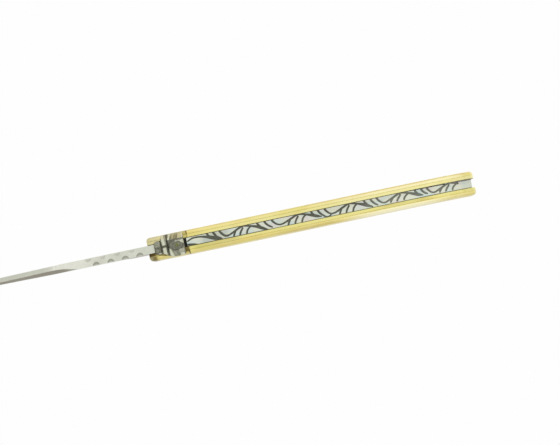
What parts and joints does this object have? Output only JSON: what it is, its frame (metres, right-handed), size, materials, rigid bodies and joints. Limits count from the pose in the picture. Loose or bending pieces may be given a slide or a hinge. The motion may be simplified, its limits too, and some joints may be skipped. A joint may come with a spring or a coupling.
{
  "type": "folding pocket knife",
  "caption": "Slim folding pocket knife, open, with a brass handle, a vine-carved steel back spring, a bee on its nose and a notched blade spine.",
  "frame": {"origin": "on the blade's pivot axis, in the plane that the knife lies on: the outer face of its left side", "axes": "+X along the handle towards its rear end, with the open blade towards -X; -Y out of the handle's back, +Y towards the belly and the cutting edge; +Z across the handle towards its right side, away from the surface"},
  "size_m": [0.22, 0.0255, 0.0086],
  "materials": {
    "blade_steel": "satin",
    "spring_steel": "polished, with blackened cut lines",
    "bee_steel": "blackened, worn bright on its high places",
    "liner_brass": "brushed",
    "bolster_brass": "polished",
    "scale_brass": "brushed lengthwise",
    "pin_steel": "peened and ground flush",
    "rivet_brass": "peened and ground flush"
  },
  "bodies": {
    "handle": {"back_spring": "spring_steel", "bee": "bee_steel", "left_liner": "liner_brass", "right_liner": "liner_brass", "left_bolster": "bolster_brass", "right_bolster": "bolster_brass", "left_scale": "scale_brass", "right_scale": "scale_brass", "pivot_pin": "pin_steel", "spring_centre_pin": "pin_steel", "spring_end_pin": "pin_steel", "left_bolster_rivet": "rivet_brass", "left_front_rivet": "rivet_brass", "left_middle_rivet": "rivet_brass", "left_rear_rivet": "rivet_brass", "right_bolster_rivet": "rivet_brass", "right_front_rivet": "rivet_brass", "right_middle_rivet": "rivet_brass", "right_rear_rivet": "rivet_brass"},
    "blade": {"blade": "blade_steel"}
  },
  "joints": [
    {"name": "blade_pivot", "type": "hinge", "parent": "handle", "child": "blade", "pos_m": [0, 0, 0], "axis": [0, 0, -1], "range_deg": [0, 180], "deforming": ["back_spring"]}
  ]
}
